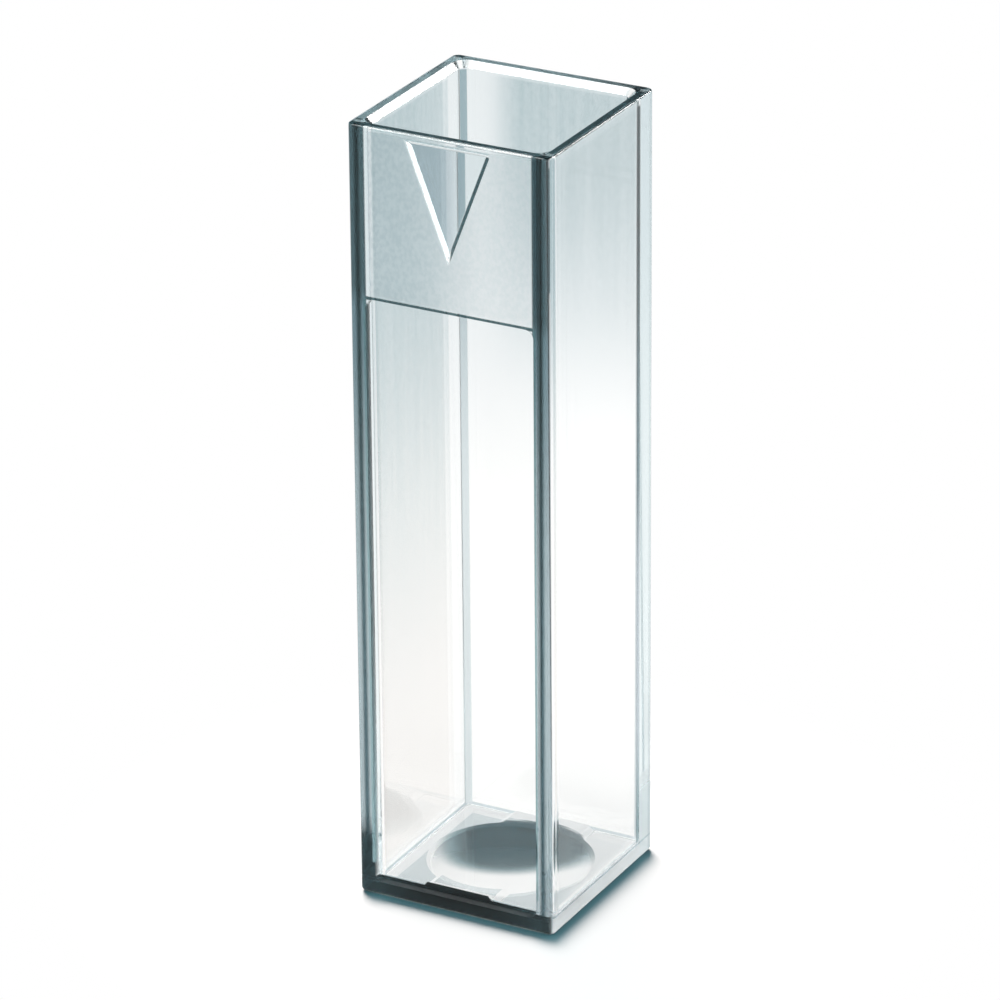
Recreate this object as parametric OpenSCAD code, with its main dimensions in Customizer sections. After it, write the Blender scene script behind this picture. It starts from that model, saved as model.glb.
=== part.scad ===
// Square photometer cuvette: one clear moulding, open at the top.
// Width runs along X, depth along Y and height along Z, in millimetres.
// The light crosses it from the arrow face, which looks towards -Y, to the face behind it.
// The origin is in the middle of the underside.

/* [Body] */
// Outside width
body_w = 12; // [11.5:0.1:16]
// Outside depth, along the light path
body_d = 12; // [11.5:0.1:16]
// Height from the underside to the rim
body_h = 45; // [30:0.5:60]
// Radius of the four upright outer corners
corner_r = 0.4; // [0.35:0.05:1]
// Rounding of the outer edge round the underside
foot_r = 0.25; // [0.05:0.05:0.3]
// Rounding of the outer edge round the rim
rim_r = 0.12; // [0.04:0.02:0.2]

/* [Cavity] */
// Thickness of the side walls at the floor
wall = 1; // [0.9:0.05:1.4]
// How much thinner each wall is at the rim, so that the moulding leaves its core
draft = 0.12; // [0.04:0.02:0.2]
// Radius of the four upright inner corners at the floor
cavity_r = 0.35; // [0.3:0.05:0.8]
// Lead-in chamfer round the mouth
lead_in = 0.35; // [0.1:0.05:0.45]
// Thickness of the floor round the boss
floor_t = 0.8; // [0.7:0.05:2]
// Radius where the floor meets the walls
cove_r = 0.12; // [0.05:0.01:0.25]

/* [Optical window] */
// Width of the raised border at each side of the window
window_border = 1; // [0.8:0.05:2]
// Height of the thick collar between the window and the rim
collar_h = 9.7; // [8:0.1:15]
// Height of the band under the window
foot_h = 0.85; // [0.7:0.05:3]
// How deep the window is sunk, so that fingers and holders don't scratch it
window_depth = 0.3; // [0.1:0.05:0.5]
// Radius of the window's corners
window_r = 0.5; // [0.2:0.05:1]
// How far the window's edge slopes in from the face to its bottom
window_slope = 0.08; // [0.02:0.01:0.18]

/* [Arrow] */
// Width of the arrow across its flat top
arrow_w = 5.2; // [2:0.1:7]
// Height of the arrow from its flat top to its point
arrow_h = 6.75; // [3:0.05:7.5]
// Distance from the rim to the arrow's flat top
arrow_drop = 0.3; // [0.25:0.05:0.5]
// How deep the arrow is sunk
arrow_depth = 0.18; // [0.1:0.02:0.4]
// How far the arrow's edge slopes in from the face to its bottom
arrow_slope = 0.28; // [0.02:0.02:0.4]

/* [Floor] */
// Distance from the walls to the edge of the hollow under the floor
hollow_margin = 0.9; // [0.5:0.05:2]
// Depth of that hollow, which keeps the feed point off whatever the cuvette stands on
hollow_depth = 0.6; // [0.1:0.05:0.65]
// Height of the round boss on the floor over the hollow, and of the rib that crosses the floor
boss_h = 0.25; // [0.1:0.05:0.5]
// How far the edges of the boss and the rib slope out from their tops
boss_slope = 0.45; // [0.1:0.05:0.6]
// Width of the rib, which runs from front to back
rib_w = 3.7; // [1:0.1:6]

/* [Hidden] */
// Plain length by which a cutting shape passes the face that it opens
past = 1;
cavity_w = body_w - 2 * wall;
cavity_d = body_d - 2 * wall;
window_w = body_w - 2 * window_border;
window_h = body_h - collar_h - foot_h;
hollow_r = min(cavity_w, cavity_d) / 2 - hollow_margin;
// Radius of the sphere that a hollow of this width and depth is cut from
hollow_sphere_r = (hollow_r * hollow_r + hollow_depth * hollow_depth) / (2 * hollow_depth);

$fn = 64;

// What a rounding takes off an outer corner at the origin, with the solid below and to the left
module rounding(r) {
    translate([-r, -r]) difference() {
        square(2 * r);
        circle(r);
    }
}

// A flat outline made of an edge profile at each end and the stretch between them
module double_profile(reach, low, high) {
    translate([-reach, low]) square([2 * reach, high - low]);
    for (side = [0, 1]) mirror([side, 0]) translate([reach, 0]) children();
}

// A block with rounded upright corners. The child is its edge profile, which starts at the
// corner's axis, at x = 0, and reaches from low to high there.
module profiled_block(w, d, r, low, high) {
    for (x = [-1, 1], y = [-1, 1])
        translate([x * (w / 2 - r), y * (d / 2 - r), 0]) rotate_extrude() children();
    rotate([90, 0, 0])
        linear_extrude(d - 2 * r, center = true) double_profile(w / 2 - r, low, high) children();
    rotate([90, 0, 90])
        linear_extrude(w - 2 * r, center = true) double_profile(d / 2 - r, low, high) children();
}

module outer_shape() {
    profiled_block(body_w, body_d, corner_r, 0, body_h) difference() {
        square([corner_r, body_h]);
        translate([corner_r, body_h]) rounding(rim_r);
        translate([corner_r, 0]) mirror([0, 1]) rounding(foot_r);
    }
}

// The inside, with its cove at the floor, drafted walls and lead-in, open past the rim
module cavity() {
    mouth_r = cavity_r + draft;
    profiled_block(cavity_w, cavity_d, cavity_r, floor_t, body_h + past) difference() {
        polygon([
            [0, floor_t],
            [cavity_r, floor_t],
            [cavity_r, floor_t + cove_r],
            [mouth_r, body_h - lead_in],
            [mouth_r + lead_in, body_h],
            [mouth_r + lead_in, body_h + past],
            [0, body_h + past],
        ]);
        translate([cavity_r, floor_t]) mirror([0, 1]) rounding(cove_r);
    }
}

// The sunken window, cut into the front face
module window_recess() {
    translate([0, -body_d / 2, foot_h + window_h / 2]) rotate([90, 0, 0])
        profiled_block(window_w, window_h, window_r, -window_depth, past) polygon([
            [0, -window_depth],
            [window_r - window_slope, -window_depth],
            [window_r, 0],
            [window_r, past],
            [0, past],
        ]);
}

// A long block on the left of a line that runs through this point at this angle. The side
// along the line slopes, as the arrow's edge does.
module sloping_block(point, angle) {
    translate(point) rotate([90, 0, angle + 90]) linear_extrude(2 * body_h, center = true)
        polygon([
            [arrow_slope, -arrow_depth],
            [0, 0],
            [0, past],
            [body_h, past],
            [body_h, -arrow_depth],
        ]);
}

// The sunken arrow on the front face, which points down to the window
module arrow_recess() {
    side_angle = atan2(arrow_h, arrow_w / 2);
    translate([0, -body_d / 2, body_h - arrow_drop]) rotate([90, 0, 0]) intersection() {
        sloping_block([0, 0], 180);
        sloping_block([0, -arrow_h], side_angle);
        sloping_block([0, -arrow_h], -side_angle);
    }
}

// The rib on the floor, with sloping sides, which runs into the front and back walls
module floor_rib() {
    foot = rib_w / 2 + boss_slope;
    rotate([90, 0, 0]) linear_extrude(cavity_d + wall, center = true)
        polygon([
            [-foot, floor_t],
            [foot, floor_t],
            [rib_w / 2, floor_t + boss_h],
            [-rib_w / 2, floor_t + boss_h],
        ]);
}

// The round boss on the floor, level with the rib, which makes up for the hollow below it. The
// edge of the hollow is under the middle of its slope.
module floor_boss() {
    half = boss_slope / 2;
    translate([0, 0, floor_t]) cylinder(r1 = hollow_r + half, r2 = hollow_r - half, h = boss_h);
}

// The hollow under the floor, a shallow part of a sphere
module underside_hollow() {
    rotate_extrude() intersection() {
        translate([0, hollow_depth - hollow_sphere_r]) circle(hollow_sphere_r, $fn = 720);
        translate([0, -past]) square([hollow_r, past + hollow_depth]);
    }
}

module cuvette_body() {
    color("lightsteelblue", 0.4) difference() {
        union() {
            difference() {
                outer_shape();
                cavity();
            }
            floor_rib();
            floor_boss();
        }
        window_recess();
        arrow_recess();
        underside_hollow();
    }
}

cuvette_body();
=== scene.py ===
"""The looks of a clear square cuvette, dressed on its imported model. Blender's own lengths are metres;
the sizes named below are in millimetres."""
import math

import bmesh
import bpy
from mathutils import Matrix, Vector

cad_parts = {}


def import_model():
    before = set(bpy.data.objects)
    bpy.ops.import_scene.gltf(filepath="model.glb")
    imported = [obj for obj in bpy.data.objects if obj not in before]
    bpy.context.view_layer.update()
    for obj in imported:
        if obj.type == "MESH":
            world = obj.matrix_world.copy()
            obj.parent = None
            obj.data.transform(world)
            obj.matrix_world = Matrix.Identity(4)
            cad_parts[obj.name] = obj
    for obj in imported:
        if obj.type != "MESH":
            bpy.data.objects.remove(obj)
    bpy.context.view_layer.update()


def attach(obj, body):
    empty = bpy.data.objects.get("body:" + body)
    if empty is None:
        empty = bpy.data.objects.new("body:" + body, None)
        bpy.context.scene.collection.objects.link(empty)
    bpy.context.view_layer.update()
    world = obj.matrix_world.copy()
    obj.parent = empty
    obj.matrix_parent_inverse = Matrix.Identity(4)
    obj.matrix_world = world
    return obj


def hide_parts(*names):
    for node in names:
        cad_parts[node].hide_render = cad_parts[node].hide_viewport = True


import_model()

MM = 0.001
WHITE = (1, 1, 1, 1)

# The moulding's sizes
BODY_W = 12.0
BODY_H = 45.0
CORNER_R = 0.4
FOOT_R = 0.25
RIM_R = 0.12
# How far the rim falls towards the mouth, which tells the bridged loops apart
RIM_FALL = 0.01
WALL = 1.0
DRAFT = 0.12
CAVITY_R = 0.35
LEAD_IN = 0.35
FLOOR_T = 0.8
COVE_R = 0.12
WINDOW_BORDER = 1.0
COLLAR_H = 9.7
FOOT_H = 0.85
WINDOW_DEPTH = 0.3
WINDOW_R = 0.5
WINDOW_SLOPE = 0.08
ARROW_W = 5.2
ARROW_H = 6.75
ARROW_DROP = 0.3
ARROW_DEPTH = 0.18
ARROW_SLOPE = 0.28
ARROW_R = 0.06
HOLLOW_R = 4.1
HOLLOW_DEPTH = 0.6
BOSS_H = 0.25
BOSS_SLOPE = 0.45
RIB_W = 3.7

# What follows from them: half the outside, the cavity's half at the floor, the window's side, the
# collar's foot and the top of the boss
HALF = BODY_W / 2
INSIDE = HALF - WALL
WINDOW_SIDE = HALF - WINDOW_BORDER
COLLAR_FOOT = BODY_H - COLLAR_H
BOSS_TOP = FLOOR_T + BOSS_H

# The plastic: how strongly it bends light, and its tint, with how dense that is per metre
REFRACTION = 1.59
TINT = (0.35, 0.62, 0.68, 1)
TINT_DENSITY = 20
# How far the floor's painted dark oval of shade is turned round the Z axis, in degrees
DISC_TURN = 28.24
# How often light may turn on its way through the walls
BOUNCES = 24

# The white floor under the moulding, with the small gap between them
FLOOR_R = 2000.0
FLOOR_DROP = 0.03
FLOOR_STEPS = 96

# The camera, in degrees and millimetres
CAMERA_TURN = 28.238
CAMERA_TILT = 23.813
CAMERA_ROLL = -0.449
CAMERA_DISTANCE = 338.99
CAMERA_ASIDE = -0.225
CAMERA_ABOVE = -0.142
CAMERA_LENS = 226.188
CAMERA_SENSOR = 36
CAMERA_NEAR = 10.0

# How finely the rounded forms are cut
CORNER_STEPS = 16
EDGE_STEPS = 6
ROUND_STEPS = 160
DISH_STEPS = 24
# The angle from which an edge is shaded as a sharp one, in degrees
SHARP_ANGLE = 30
# How far a cutting shape passes the face that it opens, and a joined shape sinks into its seat
PAST = 1.0
SUNK = 0.2


def rounded_face(mesh, corners, radius, height):
    """The face between these corners, lifted to its height, with each corner rounded."""
    bmesh.ops.translate(mesh, verts=corners, vec=(0, 0, height))
    made = bmesh.ops.bevel(
        mesh, geom=corners, offset=radius, offset_type="OFFSET", segments=CORNER_STEPS,
        profile=0.5, affect="VERTICES", clamp_overlap=False, material=-1,
    )
    return made["verts"][0].link_faces[0]


def square_face(mesh, half_w, half_d, radius, height):
    """A level rectangle with rounded corners, round the Z axis."""
    corners = bmesh.ops.create_grid(mesh, x_segments=1, y_segments=1, size=1)["verts"]
    bmesh.ops.scale(mesh, verts=corners, vec=(half_w, half_d, 1))
    return rounded_face(mesh, corners, radius, height)


def loft(mesh, faces):
    """Walls from each face to the next. The first and the last stay as the shape's ends."""
    loops = [list(face.edges) for face in faces]
    bmesh.ops.delete(mesh, geom=faces[1:-1], context="FACES_ONLY")
    for low, high in zip(loops, loops[1:]):
        bmesh.ops.bridge_loops(mesh, edges=low + high)


def quarter(across, height, radius, start, end):
    """Points on a quarter of a circle round a centre, between two angles in degrees."""
    turns = [math.radians(start + (end - start) * step / EDGE_STEPS) for step in range(EDGE_STEPS + 1)]
    return [(across + radius * math.cos(turn), height + radius * math.sin(turn)) for turn in turns]


def piece_from(mesh, name):
    """An object at the origin that holds this mesh, brought from millimetres to metres."""
    bmesh.ops.remove_doubles(mesh, verts=mesh.verts, dist=1e-5)
    bmesh.ops.recalc_face_normals(mesh, faces=mesh.faces)
    bmesh.ops.scale(mesh, verts=mesh.verts, vec=(MM, MM, MM))
    data = bpy.data.meshes.new(name)
    mesh.to_mesh(data)
    mesh.free()
    piece = bpy.data.objects.new(name, data)
    bpy.context.scene.collection.objects.link(piece)
    return piece


def onto_front(mesh, height):
    """Stands a shape that was drawn in plan, with Z outwards, on the front face at this height."""
    upright = Matrix.Rotation(math.radians(90), 3, "X")
    bmesh.ops.rotate(mesh, verts=mesh.verts, cent=(0, 0, 0), matrix=upright)
    bmesh.ops.translate(mesh, verts=mesh.verts, vec=(0, -HALF, height))


def vessel():
    """The outer skin, the rim and the inside in one loft, from the underside to the floor."""
    mesh = bmesh.new()
    mouth = WALL - DRAFT
    outside = quarter(FOOT_R, FOOT_R, FOOT_R, 270, 180)
    outside += quarter(RIM_R, BODY_H - RIM_R, RIM_R, 180, 90)
    inside = [(mouth - LEAD_IN, BODY_H - RIM_FALL), (mouth, BODY_H - LEAD_IN)]
    inside += quarter(WALL + COVE_R, FLOOR_T + COVE_R, COVE_R, 180, 270)
    faces = [square_face(mesh, HALF - x, HALF - x, CORNER_R - x, z) for x, z in outside]
    faces += [square_face(mesh, HALF - x, HALF - x, CAVITY_R + WALL - x, z) for x, z in inside]
    loft(mesh, faces)
    return piece_from(mesh, "vessel")


def window_cutter():
    """The sunken window's hole, with its sloping edge."""
    mesh = bmesh.new()
    half_h = (COLLAR_FOOT - FOOT_H) / 2
    levels = [(WINDOW_SLOPE, -WINDOW_DEPTH), (0, 0), (0, PAST)]
    faces = [square_face(mesh, WINDOW_SIDE - x, half_h - x, WINDOW_R - x, z) for x, z in levels]
    loft(mesh, faces)
    onto_front(mesh, FOOT_H + half_h)
    return piece_from(mesh, "window_cutter")


def arrow_face(mesh, inset, height):
    """The arrow's outline, drawn in from all three sides."""
    half = ARROW_W / 2
    incircle = half * ARROW_H / (half + math.hypot(half, ARROW_H))
    points = [(-half, 0, 0), (0, -ARROW_H, 0), (half, 0, 0)]
    corners = [mesh.verts.new(point) for point in points]
    mesh.faces.new(corners)
    share = (incircle - inset) / incircle
    centre = Matrix.Translation((0, incircle, 0))
    bmesh.ops.scale(mesh, verts=corners, vec=(share, share, 1), space=centre)
    return rounded_face(mesh, corners, ARROW_R, height)


def arrow_cutter():
    """The sunken arrow's hole, with its sloping edge."""
    mesh = bmesh.new()
    levels = [(ARROW_SLOPE, -ARROW_DEPTH), (0, 0), (0, PAST)]
    loft(mesh, [arrow_face(mesh, x, z) for x, z in levels])
    onto_front(mesh, BODY_H - ARROW_DROP)
    return piece_from(mesh, "arrow_cutter")


def hollow_cutter():
    """The shallow hollow under the floor, spun from a sphere's arc."""
    mesh = bmesh.new()
    radius = (HOLLOW_R**2 + HOLLOW_DEPTH**2) / (2 * HOLLOW_DEPTH)
    edge = math.asin(HOLLOW_R / radius)
    turns = [edge * step / DISH_STEPS for step in range(DISH_STEPS + 1)]
    top = HOLLOW_DEPTH - radius
    points = [(radius * math.sin(turn), 0, top + radius * math.cos(turn)) for turn in turns]
    points += [(HOLLOW_R, 0, -PAST), (0, 0, -PAST)]
    line = [mesh.verts.new(point) for point in points]
    edges = [mesh.edges.new(pair) for pair in zip(line, line[1:])]
    bmesh.ops.spin(
        mesh, geom=line + edges, cent=(0, 0, 0), axis=(0, 0, 1), angle=math.tau,
        steps=ROUND_STEPS, use_merge=True,
    )
    return piece_from(mesh, "hollow_cutter")


def boss():
    """The round boss on the floor, with its sloping edge."""
    mesh = bmesh.new()
    depth = BOSS_H + SUNK
    top = HOLLOW_R - BOSS_SLOPE / 2
    bmesh.ops.create_cone(
        mesh, cap_ends=True, segments=ROUND_STEPS, radius1=top + BOSS_SLOPE * depth / BOSS_H,
        radius2=top, depth=depth,
    )
    bmesh.ops.translate(mesh, verts=mesh.verts, vec=(0, 0, BOSS_TOP - depth / 2))
    return piece_from(mesh, "boss")


def rib():
    """The rib across the floor, which runs into the front and back walls."""
    mesh = bmesh.new()
    depth = BOSS_H + SUNK
    top = RIB_W / 2
    foot = top + BOSS_SLOPE * depth / BOSS_H
    end = HALF - WALL / 2
    points = [(-foot, -end, -depth), (foot, -end, -depth), (top, -end, 0), (-top, -end, 0)]
    face = mesh.faces.new([mesh.verts.new(point) for point in points])
    made = bmesh.ops.extrude_face_region(mesh, geom=[face])["geom"]
    far = [part for part in made if isinstance(part, bmesh.types.BMVert)]
    bmesh.ops.translate(mesh, verts=far, vec=(0, 2 * end, 0))
    bmesh.ops.translate(mesh, verts=mesh.verts, vec=(0, 0, BOSS_TOP))
    return piece_from(mesh, "rib")


def settle(piece):
    """Turns a piece's modifiers into its mesh."""
    graph = bpy.context.evaluated_depsgraph_get()
    data = bpy.data.meshes.new_from_object(piece.evaluated_get(graph))
    piece.modifiers.clear()
    piece.data = data


def cuvette():
    """The whole moulding: the vessel with its floor forms joined and its recesses cut."""
    piece = vessel()
    piece.name = "moulding"
    changes = [(rib(), "UNION"), (boss(), "UNION")]
    changes += [(tool(), "DIFFERENCE") for tool in (window_cutter, arrow_cutter, hollow_cutter)]
    for tool, operation in changes:
        change = piece.modifiers.new(tool.name, "BOOLEAN")
        change.operation = operation
        change.object = tool
        change.solver = "EXACT"
    settle(piece)
    for tool, _ in changes:
        bpy.data.objects.remove(tool)
    for face in piece.data.polygons:
        face.use_smooth = True
    piece.data.set_sharp_from_angle(angle=math.radians(SHARP_ANGLE))
    weighted = piece.modifiers.new("even_shading", "WEIGHTED_NORMAL")
    weighted.keep_sharp = True
    settle(piece)
    return piece


def joined(tree, source, socket):
    """Links a value, a colour or another node's output to a socket."""
    if isinstance(source, bpy.types.NodeSocket):
        tree.links.new(source, socket)
    else:
        socket.default_value = source


def maths(tree, operation, *inputs):
    """A Math node's result."""
    node = tree.nodes.new("ShaderNodeMath")
    node.operation = operation
    for place, source in enumerate(inputs):
        joined(tree, source, node.inputs[place])
    return node.outputs[0]


def ramp(tree, value, low, high, at_low=0.0, at_high=1.0):
    """A smooth change from one number to another as a value goes from low to high."""
    node = tree.nodes.new("ShaderNodeMapRange")
    node.interpolation_type = "SMOOTHSTEP"
    names = ("Value", "From Min", "From Max", "To Min", "To Max")
    for name, source in zip(names, (value, low, high, at_low, at_high)):
        joined(tree, source, node.inputs[name])
    return node.outputs["Result"]


def axes(tree, space):
    """X, Y and Z in one of the spaces of a Texture Coordinate node."""
    coords = tree.nodes.new("ShaderNodeTexCoord")
    split = tree.nodes.new("ShaderNodeSeparateXYZ")
    joined(tree, coords.outputs[space], split.inputs[0])
    return {axis: split.outputs[axis] for axis in "XYZ"}


def millimetres(tree):
    """X, Y and Z on the object, in millimetres."""
    return {axis: maths(tree, "DIVIDE", value, MM) for axis, value in axes(tree, "Object").items()}


def length(tree, first, second):
    """How long a line is that goes this far along each of two axes."""
    squares = [maths(tree, "MULTIPLY", side, side) for side in (first, second)]
    return maths(tree, "SQRT", maths(tree, "ADD", *squares))


def turned(tree, at, operation, first, second):
    """The sum or the difference of two axes, each times its share of a turn."""
    parts = [maths(tree, "MULTIPLY", at[axis], share) for axis, share in (first, second)]
    return maths(tree, operation, *parts)


def places(tree):
    """How far a point lies along X, Y and Z in millimetres, with what follows from it: its distance from
    each middle plane, the smaller and the larger of these, its radius, and X and Y turned as the disc is."""
    at = millimetres(tree)
    at["side"] = maths(tree, "ABSOLUTE", at["X"])
    at["front"] = maths(tree, "ABSOLUTE", at["Y"])
    at["inner"] = maths(tree, "MINIMUM", at["side"], at["front"])
    at["outer"] = maths(tree, "MAXIMUM", at["side"], at["front"])
    at["radius"] = length(tree, at["X"], at["Y"])
    turn = math.radians(DISC_TURN)
    cosine, sine = math.cos(turn), math.sin(turn)
    at["across"] = turned(tree, at, "ADD", ("X", cosine), ("Y", sine))
    at["along"] = turned(tree, at, "SUBTRACT", ("Y", cosine), ("X", sine))
    return at


def above(tree, value, edge, soft=0.05):
    """1 where a value lies above an edge, and 0 below it."""
    return ramp(tree, value, edge - soft, edge + soft)


def below(tree, value, edge, soft=0.05):
    """1 where a value lies below an edge, and 0 above it."""
    return ramp(tree, value, edge - soft, edge + soft, 1.0, 0.0)


def between(tree, value, low, high, soft=0.05):
    """1 where a value lies between two edges."""
    return product(tree, above(tree, value, low, soft), below(tree, value, high, soft))


def product(tree, first, *rest):
    """Masks multiplied by each other."""
    for mask in rest:
        first = maths(tree, "MULTIPLY", first, mask)
    return first


def largest(tree, first, *rest):
    """The largest of some masks."""
    for mask in rest:
        first = maths(tree, "MAXIMUM", first, mask)
    return first


def opposite(tree, mask):
    """1 where a mask is 0."""
    return maths(tree, "SUBTRACT", 1.0, mask)


def mixed(tree, share, first, second):
    """One colour mixed with another by its share."""
    node = tree.nodes.new("ShaderNodeMix")
    node.data_type = "RGBA"
    sockets = [socket for socket in node.inputs if socket.type == "RGBA"]
    joined(tree, share, node.inputs["Factor"])
    joined(tree, first, sockets[0])
    joined(tree, second, sockets[1])
    return next(socket for socket in node.outputs if socket.type == "RGBA")


def noise(tree, across, along, detail):
    """Noise between 0 and 1 whose spots have these sizes across and along Z, in millimetres."""
    coords = tree.nodes.new("ShaderNodeTexCoord")
    stretch = tree.nodes.new("ShaderNodeMapping")
    joined(tree, coords.outputs["Object"], stretch.inputs["Vector"])
    joined(tree, (1 / (across * MM), 1 / (across * MM), 1 / (along * MM)), stretch.inputs["Scale"])
    node = tree.nodes.new("ShaderNodeTexNoise")
    joined(tree, stretch.outputs[0], node.inputs["Vector"])
    joined(tree, 1.0, node.inputs["Scale"])
    joined(tree, detail, node.inputs["Detail"])
    return node.outputs["Fac"]


def dyed(tree, share, colour, tone):
    """A colour dyed to a tone by a share. The plastic passes on the root of its colour, so the share is
    made stronger to match."""
    light = opposite(tree, share)
    return mixed(tree, opposite(tree, product(tree, light, light)), colour, tone)


def graded(tree, at, colour, *steps):
    """A colour that changes with height. Each step says between which heights its colour takes over."""
    for low, high, tone in steps:
        colour = mixed(tree, ramp(tree, at["Z"], low, high), colour, tone)
    return colour


def flow_marks(tree):
    """Faint upright streaks with a fine grain, as a share between three quarters and one."""
    streaks = maths(tree, "MULTIPLY", noise(tree, across=0.5, along=14.0, detail=2.0), 0.6)
    grain = maths(tree, "MULTIPLY", noise(tree, across=0.25, along=0.4, detail=2.0), 0.4)
    return ramp(tree, maths(tree, "ADD", streaks, grain), 0.35, 0.65, 0.75, 1.0)


def walls(tree, at, colour):
    """Painted shade on the left, back and right walls, darker upwards and streaked by faint upright flow
    marks, and a faint warm tint low on the left one. The front wall is clear, and so is the corner behind on
    the left."""
    warm_tone, streaked_wall_shade = (0.905, 0.885, 0.872, 1), (0.58, 0.67, 0.69, 1)
    clear_x, clear_y = -2.8, 3.5
    warm_end, left_start, upper_start, right_start = (29.0, 36.0), (6.0, 33.0), (25.0, 40.0), (36.5, 43.0)
    height = between(tree, at["Z"], BOSS_TOP + 0.25, BODY_H - 0.5, 0.1)
    face = product(tree, height, below(tree, at["inner"], INSIDE - 0.25, 0.1))
    inner_side = INSIDE - 0.4
    left = product(tree, below(tree, at["X"], -inner_side, 0.1), below(tree, at["Y"], clear_y, 0.1))
    warm_tint = product(tree, face, left, ramp(tree, at["Z"], *warm_end, 1.0, 0.0))
    colour = mixed(tree, warm_tint, colour, warm_tone)
    left = product(tree, left, ramp(tree, at["Z"], *left_start))
    back = product(tree, above(tree, at["Y"], inner_side, 0.1), above(tree, at["X"], clear_x, 1.2))
    right = above(tree, at["X"], inner_side, 0.1)
    right = product(tree, right, ramp(tree, at["Z"], *right_start, 0.12, 0.36))
    upper = product(tree, largest(tree, back, right), ramp(tree, at["Z"], *upper_start))
    # Painted shade: the walls grow darker upwards, streaked by the flow marks.
    share = product(tree, face, largest(tree, left, upper), flow_marks(tree))
    return mixed(tree, share, colour, streaked_wall_shade)


def collar_mask(tree, at):
    """The satin collar on the front face, which starts over the line and ends under the rim."""
    left, right = -4.74, 4.93
    face = below(tree, at["Y"], 0.045 - HALF, 0.02)
    panel = between(tree, at["Z"], COLLAR_FOOT + 0.18, BODY_H - 0.25, 0.04)
    return product(tree, face, panel, between(tree, at["X"], left, right, 0.03))


def collar_panel(tree, at, share, colour):
    """The satin collar, a mottled grey of painted shade that turns paler towards the right as painted light.
    """
    grain = ramp(tree, noise(tree, across=0.22, along=0.3, detail=3.0), 0.3, 0.7)
    # Painted shade on the collar, darker on the left and paler on the right.
    left = mixed(tree, grain, (0.78, 0.84, 0.86, 1), (0.60, 0.68, 0.71, 1))
    right = mixed(tree, grain, (0.98, 0.99, 1.0, 1), (0.84, 0.89, 0.90, 1))
    return mixed(tree, share, colour, mixed(tree, ramp(tree, at["X"], -4.0, 2.0), left, right))


def arrow(tree, at, colour, outside):
    """The arrow's ground in painted shade, paler towards the right, and a dark painted shade along its right
    edge.
    """
    left, right = (0.36, 0.45, 0.50, 1), (0.72, 0.80, 0.82, 1)
    painted_edge_shade, edge_top = (0.005, 0.017, 0.021, 1), BODY_H - 0.55
    tall = above(tree, at["Z"], BODY_H - ARROW_DROP - ARROW_H - 0.4)
    depth = ARROW_DEPTH - HALF
    ground = product(tree, tall, outside, between(tree, at["Y"], depth - 0.02, depth + 0.02, 0.01))
    # Painted shade on the arrow's ground, darker on the left.
    colour = mixed(tree, ground, colour, mixed(tree, ramp(tree, at["X"], -0.3, 1.0), left, right))
    slope = product(tree, tall, between(tree, at["Y"], 0.01 - HALF, depth - 0.02, 0.005))
    edge = product(tree, slope, outside, above(tree, at["X"], 0.1))
    edge = product(tree, edge, below(tree, at["Z"], edge_top))
    # Painted shade along the arrow's right edge.
    return dyed(tree, edge, colour, painted_edge_shade)


def painted_post_shade(tree, at):
    """Painted shade on the posts: teal, darker upwards, with a darker core, and nearly black at the foot of
    the left one.
    """
    foot_tone, foot_top = (0.0007, 0.0024, 0.0029, 1), 4.3
    core_sides, collar = (5.28, 5.54), (COLLAR_FOOT - 0.8, COLLAR_FOOT + 0.7)
    fill = graded(
        tree, at, (0.23, 0.30, 0.33, 1), (14, 35, (0.035, 0.075, 0.095, 1)),
        (*collar, (0.008, 0.021, 0.026, 1)),
    )
    core = graded(
        tree, at, (0.010, 0.026, 0.034, 1), (12, 33, (0.0014, 0.0044, 0.005, 1)),
        (*collar, (0.0006, 0.002, 0.0024, 1)),
    )
    fill = dyed(tree, between(tree, at["side"], *core_sides, 0.13), fill, core)
    foot = product(tree, below(tree, at["Z"], foot_top, 1.0), below(tree, at["X"], 0.0, 0.1))
    return mixed(tree, foot, fill, foot_tone)


def front_face(tree, at, outside):
    """The outsides of the front and back faces."""
    return product(tree, above(tree, at["front"], HALF - 0.44, 0.06), outside)


def posts(tree, at, colour, outside):
    """Painted shade on the posts at the sides of the front and back faces, and a dark line of painted shade
    along each one's inner side.
    """
    line_foot = 2.0
    face = front_face(tree, at, outside)
    strip = product(tree, face, between(tree, at["side"], WINDOW_SIDE - 0.05, HALF - 0.1, 0.06))
    # Painted shade on the post strips.
    colour = dyed(tree, strip, colour, painted_post_shade(tree, at))
    line = between(tree, at["side"], WINDOW_SIDE - 0.04, WINDOW_SIDE + 0.12, 0.04)
    line = product(tree, face, line, between(tree, at["Z"], line_foot, COLLAR_FOOT, 0.1))
    tone = graded(tree, at, (0.10, 0.20, 0.22, 1), (16, 34, (0.018, 0.055, 0.065, 1)))
    # Painted shade along each post's inner side.
    return dyed(tree, line, colour, tone)


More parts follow.
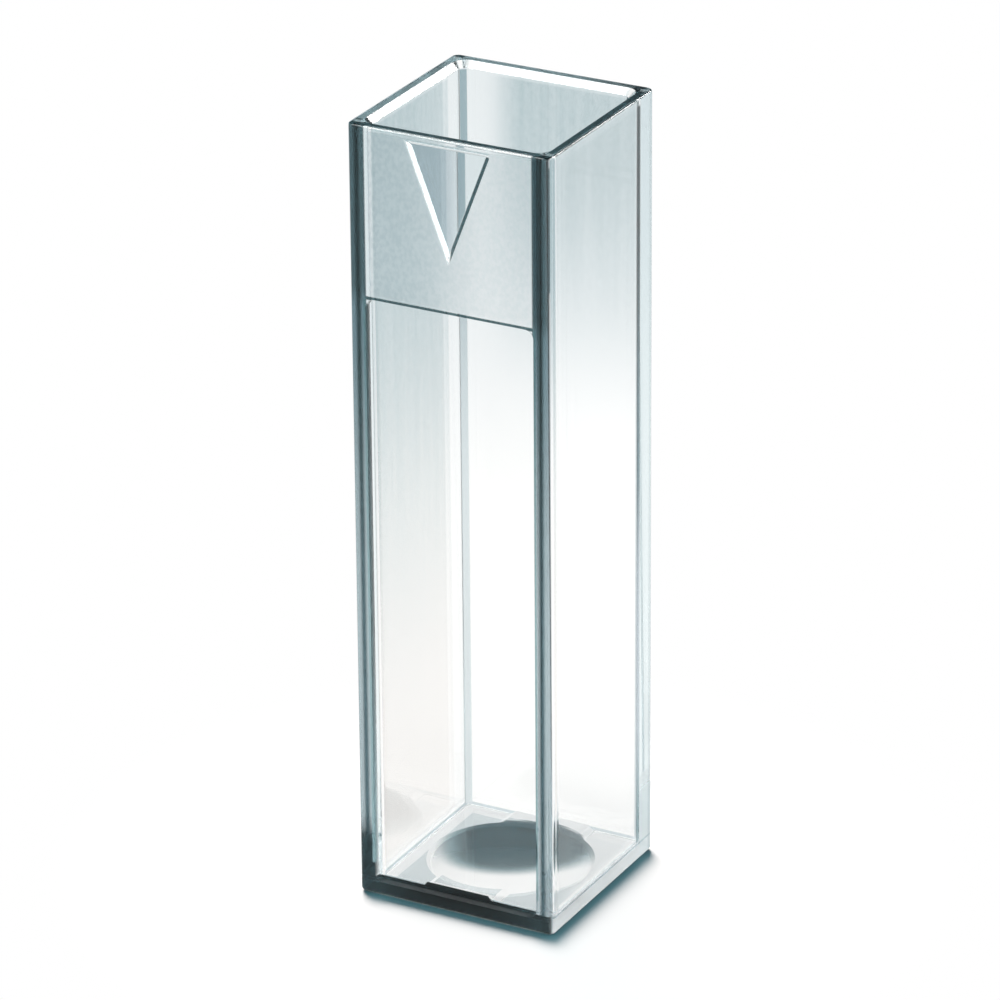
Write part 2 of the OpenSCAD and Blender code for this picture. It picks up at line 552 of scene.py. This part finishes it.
def right_post(tree, at, colour, outside):
    """Painted shade on the right face: a pale post behind, darker upwards, with a grey line, a dark line
    before it and one over its foot.
    """
    post_sides, grey_sides, foot_line = (4.4, HALF - 0.1), (5.4, 5.7), (1.0, 1.12)
    dark_sides, dark_ends = (3.98, 4.32), (1.2, BODY_H - 0.4)
    face = product(tree, above(tree, at["X"], HALF - 0.3, 0.1), outside)
    pale = graded(tree, at, (0.90, 0.94, 0.95, 1), (12, 30, (0.74, 0.80, 0.82, 1)))
    dark = graded(
        tree, at, (0.10, 0.19, 0.22, 1), (4, 9, (0.31, 0.39, 0.46, 1)), (15, 24, (0.03, 0.08, 0.10, 1)),
        (24, 38, (0.002, 0.008, 0.010, 1)),
    )
    grey, low = (0.55, 0.61, 0.63, 1), (0.35, 0.45, 0.48, 1)
    # Painted shade on the right face's post and lines.
    colour = mixed(tree, product(tree, face, between(tree, at["Y"], *post_sides)), colour, pale)
    line = product(tree, face, between(tree, at["Y"], *dark_sides, 0.08))
    line = product(tree, line, between(tree, at["Z"], *dark_ends, 0.1))
    colour = dyed(tree, line, colour, dark)
    colour = mixed(tree, product(tree, face, between(tree, at["Y"], *grey_sides, 0.1)), colour, grey)
    return mixed(tree, product(tree, face, between(tree, at["Z"], *foot_line, 0.04)), colour, low)


def painted_base_shade(tree, at, colour, outside):
    """Painted shade: a nearly black band at the foot of the front and back faces, which stands higher at
    the ends of the rib."""
    middle, end = (0.0001, 0.0003, 0.00035, 1), (0.0008, 0.0024, 0.0029, 1)
    rib_side, end_start = RIB_W / 2, (2.0, 5.5)
    top = ramp(tree, at["side"], rib_side, rib_side + 0.25, BOSS_TOP + 0.33, BOSS_TOP + 0.1)
    band = product(tree, above(tree, at["Z"], 0.08, 0.04), maths(tree, "LESS_THAN", at["Z"], top))
    share = product(tree, front_face(tree, at, outside), band, below(tree, at["side"], HALF - 0.14, 0.06))
    return dyed(tree, share, colour, mixed(tree, ramp(tree, at["side"], *end_start), middle, end))


def painted_sill_line(tree, at, colour):
    """A dark line of painted shade over the window."""
    tone = (0.008, 0.024, 0.028, 1)
    line = between(tree, at["Z"], COLLAR_FOOT - 0.04, COLLAR_FOOT + 0.15, 0.03)
    face = below(tree, at["Y"], WINDOW_DEPTH - HALF, 0.04)
    return dyed(tree, product(tree, line, face, below(tree, at["side"], WINDOW_SIDE)), colour, tone)


def rim_flats(tree, at):
    """The rim's flat, and its near and far sides without the corners."""
    top = above(tree, at["Z"], BODY_H - 0.025, 0.01)
    flat = product(tree, top, between(tree, at["outer"], INSIDE + 0.44, HALF - 0.14, 0.03))
    sides = product(tree, flat, below(tree, at["inner"], 5.22, 0.13))
    near = largest(tree, below(tree, at["Y"], -INSIDE, 0.1), above(tree, at["X"], INSIDE, 0.1))
    return flat, product(tree, sides, near), product(tree, sides, opposite(tree, near))


def painted_rim_shade(tree, near, far, colour):
    """Painted shade on the rim: dark on its near sides and pale on its far ones."""
    colour = dyed(tree, near, colour, (0.013, 0.032, 0.038, 1))
    return dyed(tree, far, colour, (0.75, 0.90, 0.93, 1))


def corners(tree, at, colour):
    """The cavity's upright corners in painted shade: a pale line behind on the left, a dark one behind on
    the right, and one in front on the right, which fades downwards. Returns the colour and the mask of the
    back ones."""
    lean = maths(tree, "MULTIPLY", at["Z"], DRAFT / BODY_H)
    turn = maths(tree, "SUBTRACT", at["inner"], lean)
    upright = between(tree, at["Z"], FLOOR_T + 0.15, BODY_H - 0.4)
    upright = product(tree, upright, below(tree, at["outer"], INSIDE + 0.25))
    right = above(tree, at["X"], 0, 0.1)
    back = above(tree, at["Y"], 0, 0.1)
    line = product(tree, above(tree, turn, INSIDE - 0.31, 0.02), upright)
    # Painted shade lines in the cavity's corners.
    tone = graded(tree, at, (0.52, 0.62, 0.65, 1), (20, 40, (0.16, 0.26, 0.30, 1)))
    colour = mixed(tree, product(tree, line, back, opposite(tree, right)), colour, tone)
    tone = graded(tree, at, (0.30, 0.38, 0.42, 1), (18, 40, (0.008, 0.024, 0.028, 1)))
    colour = dyed(tree, product(tree, line, back, right), colour, tone)
    front = product(tree, line, right, opposite(tree, back), ramp(tree, at["Z"], 26, 40))
    colour = mixed(tree, front, colour, (0.35, 0.48, 0.52, 1))
    return colour, product(tree, above(tree, turn, INSIDE - 0.37, 0.01), upright, back)


def painted_floor_shade(tree, at, colour):
    """Painted shade on the flats of the floor and the rib, fainter on the right, with a clear border on the
    left and behind, and a dark line of painted shade in the cove round them."""
    flat_tone, cove_tone = (0.57, 0.65, 0.68, 1), (0.40, 0.50, 0.55, 1)
    left_end, back_end, right_fade = -4.2, 4.1, (2.0, 4.0)
    low = between(tree, at["Z"], FLOOR_T - 0.01, FLOOR_T + 0.01, 0.005)
    high = between(tree, at["Z"], BOSS_TOP - 0.01, BOSS_TOP + 0.01, 0.005)
    high = product(tree, high, above(tree, at["radius"], HOLLOW_R + 0.05))
    share = product(tree, largest(tree, low, high), below(tree, at["outer"], INSIDE - 0.37))
    share = product(tree, share, above(tree, at["X"], left_end), below(tree, at["Y"], back_end))
    share = product(tree, share, ramp(tree, at["across"], *right_fade, 1.0, 0.3))
    colour = mixed(tree, share, colour, flat_tone)
    cove = between(tree, at["outer"], INSIDE - 0.1, INSIDE + 0.02, 0.02)
    cove = product(tree, cove, between(tree, at["Z"], FLOOR_T + 0.03, FLOOR_T + 0.2, 0.02))
    return mixed(tree, cove, colour, cove_tone)


def disc(tree, at, colour):
    """Painted shade for the dark far side of the hollow, seen through the boss over it: an oval with a soft
    teal edge that fades towards the left, and a little towards the front."""
    teal, dark = (0.16, 0.31, 0.35, 1), (0.0015, 0.010, 0.0145, 1)
    centre, half_axes = (0.3, 1.1), (4.05, 3.25)
    outer_fade, inner_fade, front_fade = (-4.4, -2.4), (-4.0, -1.2), (-2.2, 1.0)
    offsets = [maths(tree, "SUBTRACT", at[name], middle) for name, middle in zip(("across", "along"), centre)]
    off = length(tree, *(maths(tree, "DIVIDE", value, half) for value, half in zip(offsets, half_axes)))
    top = between(tree, at["Z"], FLOOR_T + 0.02, BOSS_TOP + 0.02, 0.01)
    top = product(tree, top, below(tree, at["radius"], HOLLOW_R + 0.2, 0.03))
    outer = product(tree, top, below(tree, off, 1.01, 0.2), ramp(tree, at["across"], *outer_fade))
    inner = product(tree, top, below(tree, off, 0.94, 0.2), ramp(tree, at["across"], *inner_fade))
    inner = product(tree, inner, ramp(tree, at["along"], *front_fade, 0.75, 1.0))
    return dyed(tree, inner, dyed(tree, outer, colour, teal), dark)


def roughness(tree, at, satin, flat, back_corners):
    """How satin each place is. Each mask is multiplied by its roughness; the rest is polished."""
    hollow = below(tree, at["Z"], HOLLOW_DEPTH + 0.12, 0.02)
    hollow = product(tree, below(tree, at["radius"], HOLLOW_R - 0.05), hollow)
    standing = product(tree, below(tree, at["Z"], 0.03, 0.01), above(tree, at["radius"], HOLLOW_R))
    slope = between(tree, at["side"], WINDOW_SIDE - 0.1, WINDOW_SIDE + 0.02, 0.01)
    slope = product(tree, slope, between(tree, at["Y"], 0.01 - HALF, WINDOW_DEPTH - 0.02 - HALF, 0.01))
    slope = product(tree, slope, between(tree, at["Z"], 1.0, COLLAR_FOOT, 0.1))
    rib_side = between(tree, at["Z"], FLOOR_T + 0.02, BOSS_TOP - 0.02, 0.01)
    rib_side = product(tree, rib_side, above(tree, at["radius"], HOLLOW_R + 0.3))
    post_foot = product(tree, below(tree, at["Z"], 5.0, 1.0), above(tree, at["Y"], 4.3, 0.1))
    foot = largest(tree, below(tree, at["Z"], 1.1, 0.1), post_foot)
    foot = product(tree, foot, above(tree, at["X"], HALF - 0.3, 0.1))
    lead_in = between(tree, at["Z"], BODY_H - LEAD_IN + 0.03, BODY_H - 0.02, 0.01)
    lead_in = product(tree, lead_in, between(tree, at["outer"], INSIDE + 0.1, INSIDE + 0.46, 0.02))
    on_lead_in = ramp(tree, at["X"], -5.05, -4.95, 0.14, 0.25)
    levels = (
        (satin, 0.33), (hollow, 0.3), (standing, 0.6), (flat, 0.3), (back_corners, 0.3), (slope, 0.5),
        (rib_side, 0.3), (foot, 0.3), (lead_in, on_lead_in),
    )
    return largest(tree, *(product(tree, mask, level) for mask, level in levels))


def shadow_shade(tree, at):
    """What a lamp's light keeps on its way through: little at the base, nearly all above it."""
    shader = tree.nodes.new("ShaderNodeBsdfTransparent")
    shade = graded(tree, at, (0.03, 0.08, 0.095, 1), (0.2, 2.0, (0.995, 0.997, 0.998, 1)))
    joined(tree, shade, shader.inputs["Color"])
    return shader.outputs[0]


def plastic():
    """Clear polystyrene: a polished window, a satin collar and hollow, and walls with faint flow marks.
    Its thick edges and corners, rims, base, floor, walls, collar and arrow get painted shade and light in the
    base colour."""
    material = bpy.data.materials.new("clear_polystyrene")
    material.use_nodes = True
    tree = material.node_tree
    shader = tree.nodes["Principled BSDF"]
    output = tree.nodes["Material Output"]
    at = places(tree)
    outside = opposite(tree, tree.nodes.new("ShaderNodeNewGeometry").outputs["Backfacing"])
    satin = collar_mask(tree, at)
    flat, near, far = rim_flats(tree, at)
    # Painted shade and light, laid into the base colour one place after another.
    colour = walls(tree, at, WHITE)
    colour = collar_panel(tree, at, satin, colour)
    colour = arrow(tree, at, colour, outside)
    colour = disc(tree, at, colour)
    colour = painted_floor_shade(tree, at, colour)
    colour = posts(tree, at, colour, outside)
    colour = right_post(tree, at, colour, outside)
    colour = painted_base_shade(tree, at, colour, outside)
    colour = painted_sill_line(tree, at, colour)
    colour, back_corners = corners(tree, at, colour)
    colour = painted_rim_shade(tree, near, far, colour)
    joined(tree, colour, shader.inputs["Base Color"])
    joined(tree, roughness(tree, at, satin, flat, back_corners), shader.inputs["Roughness"])
    shader.inputs["IOR"].default_value = REFRACTION
    shader.inputs["Transmission Weight"].default_value = 1
    tint = tree.nodes.new("ShaderNodeVolumeAbsorption")
    tint.inputs["Color"].default_value = TINT
    tint.inputs["Density"].default_value = TINT_DENSITY
    joined(tree, tint.outputs[0], output.inputs["Volume"])
    in_shadow = tree.nodes.new("ShaderNodeLightPath").outputs["Is Shadow Ray"]
    surface = over(tree, in_shadow, shader.outputs[0], shadow_shade(tree, at))
    joined(tree, surface, output.inputs["Surface"])
    return material


def camera():
    """The camera, turned, tilted and rolled round a point in the moulding."""
    turn, tilt, roll = map(math.radians, (CAMERA_TURN, CAMERA_TILT, CAMERA_ROLL))
    right = Vector((math.cos(turn), math.sin(turn), 0))
    ahead = Vector((-math.sin(turn) * math.cos(tilt), math.cos(turn) * math.cos(tilt), -math.sin(tilt)))
    up = right.cross(ahead)
    place = Vector((0, 0, BODY_H / 2)) - ahead * CAMERA_DISTANCE
    place += right * CAMERA_ASIDE + up * CAMERA_ABOVE
    data = bpy.data.cameras.new("camera")
    data.sensor_width = CAMERA_SENSOR
    data.lens = CAMERA_LENS
    data.clip_start = CAMERA_NEAR * MM
    viewer = bpy.data.objects.new("camera", data)
    across = right * math.cos(roll) + up * math.sin(roll)
    upward = up * math.cos(roll) - right * math.sin(roll)
    facing = Matrix((across, upward, -ahead)).transposed().to_4x4()
    viewer.matrix_world = Matrix.Translation(place * MM) @ facing
    bpy.context.scene.collection.objects.link(viewer)
    bpy.context.scene.camera = viewer


def glow(tree, colour):
    """An emission of this colour."""
    node = tree.nodes.new("ShaderNodeEmission")
    joined(tree, colour, node.inputs["Color"])
    return node.outputs[0]


def over(tree, share, first, second):
    """One shader laid over another by its share."""
    node = tree.nodes.new("ShaderNodeMixShader")
    for place, source in enumerate((share, first, second)):
        joined(tree, source, node.inputs[place])
    return node.outputs[0]


def mirrored_floor(tree, at):
    """The floor as the plastic mirrors it: dim, but white on the right, where it lies close to the base,
    behind it or far off."""
    base = below(tree, at["X"], 7.6, 0.4)
    behind = above(tree, at["Y"], 10, 3)
    near = product(tree, above(tree, at["X"], HALF - 0.1, 0.1), largest(tree, base, behind))
    white = largest(tree, near, ramp(tree, at["X"], HALF, 20))
    return mixed(tree, white, (0.3, 0.33, 0.34, 1), WHITE)


def floor():
    """The plain white floor, which shows its shading only close to the moulding. What the plastic passes
    on from it is a little more than white nearby, which makes up for what the walls mirror away, and
    greyer further off."""
    place = (0, 0, -FLOOR_DROP * MM)
    bpy.ops.mesh.primitive_circle_add(
        vertices=FLOOR_STEPS, radius=FLOOR_R * MM, fill_type="NGON", location=place,
    )
    ground = bpy.context.object
    ground.name = "floor"
    material = bpy.data.materials.new("floor")
    material.use_nodes = True
    tree = material.node_tree
    tree.nodes.remove(tree.nodes["Principled BSDF"])
    path = tree.nodes.new("ShaderNodeLightPath").outputs
    at = millimetres(tree)
    away = length(tree, at["X"], at["Y"])
    paper = tree.nodes.new("ShaderNodeBsdfDiffuse")
    joined(tree, (0.95, 0.95, 0.95, 1), paper.inputs["Color"])
    near, middle, far = (1.11, 1.10, 1.085, 1), (0.90, 0.93, 0.94, 1), (0.84, 0.88, 0.89, 1)
    passed_on = mixed(tree, ramp(tree, away, 45, 90), near, middle)
    passed_on = mixed(tree, ramp(tree, away, 90, 130), passed_on, far)
    open_floor = product(tree, path["Is Camera Ray"], ramp(tree, away, 8, 26))
    look = over(tree, open_floor, paper.outputs[0], glow(tree, WHITE))
    look = over(tree, path["Is Glossy Ray"], look, glow(tree, mirrored_floor(tree, at)))
    look = over(tree, path["Is Transmission Ray"], look, glow(tree, passed_on))
    joined(tree, look, tree.nodes["Material Output"].inputs["Surface"])
    ground.data.materials.append(material)


def world():
    """White for the camera and soft teal light. In the plastic the sky is white in front and dim
    elsewhere, but bright where it is seen through one wall only or on a level."""
    room = bpy.data.worlds.new("studio")
    bpy.context.scene.world = room
    room.use_nodes = True
    tree = room.node_tree
    path = tree.nodes.new("ShaderNodeLightPath").outputs
    in_plastic = largest(tree, path["Is Glossy Ray"], path["Is Transmission Ray"])
    sky = axes(tree, "Generated")
    front = product(tree, below(tree, sky["Y"], -0.3, 0.2), below(tree, sky["Z"], 0.6, 0.1))
    one_wall = below(tree, path["Transmission Depth"], 2.5, 0.5)
    on_a_level = between(tree, sky["Z"], -0.05, 0.2, 0.05)
    clear = product(tree, path["Is Transmission Ray"], largest(tree, one_wall, on_a_level))
    dim, bright, soft_teal = (0.10, 0.15, 0.17, 1), (0.80, 0.85, 0.86, 1), (0.08, 0.18, 0.21, 1)
    behind = mixed(tree, clear, dim, bright)
    colour = mixed(tree, in_plastic, soft_teal, mixed(tree, front, behind, WHITE))
    colour = mixed(tree, path["Is Camera Ray"], colour, WHITE)
    joined(tree, colour, tree.nodes["Background"].inputs["Color"])


def lamp(name, place, size, energy, target):
    """A round soft lamp that looks at a target. Places are in millimetres."""
    data = bpy.data.lights.new(name, "AREA")
    data.shape = "DISK"
    data.size = size * MM
    data.energy = energy
    light = bpy.data.objects.new(name, data)
    place = Vector(place)
    facing = (Vector(target) - place).to_track_quat("-Z", "Y").to_matrix().to_4x4()
    light.matrix_world = Matrix.Translation(place * MM) @ facing
    bpy.context.scene.collection.objects.link(light)
    return light


def lamps():
    """The key lamp on the left behind, and three that show only as glints: on the mouth's left and back
    chamfers and on the arrow's left edge."""
    key = lamp("key", (-340, 370, 500), size=380, energy=8.5, target=(0, 0, 20))
    key.data.color = (1.0, 0.92, 0.89)
    key.visible_glossy = False
    key.visible_transmission = False
    glints = (
        lamp("glint", (134.3, 268.2, 189.4), size=100, energy=0.4, target=(0, 0, BODY_H)),
        lamp("back", (-130, -116, 287), size=90, energy=0.25, target=(0, INSIDE, BODY_H)),
        lamp("edge", (165, -256, 36), size=56, energy=0.1, target=(0, -HALF, 42)),
    )
    for light in glints:
        light.visible_diffuse = False
        light.visible_transmission = False
        light.visible_camera = False


def light_paths():
    """Enough bounces for the clear walls, and no light focused through them on the floor."""
    cycles = bpy.context.scene.cycles
    cycles.max_bounces = BOUNCES
    cycles.glossy_bounces = BOUNCES
    cycles.transmission_bounces = BOUNCES
    cycles.caustics_reflective = False
    cycles.caustics_refractive = False


camera()
bpy.context.scene.view_settings.view_transform = "Standard"
light_paths()
body = cuvette()
body.data.materials.clear()
body.data.materials.append(plastic())
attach(body, "root")
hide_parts("cuvette_body")
floor()
world()
lamps()
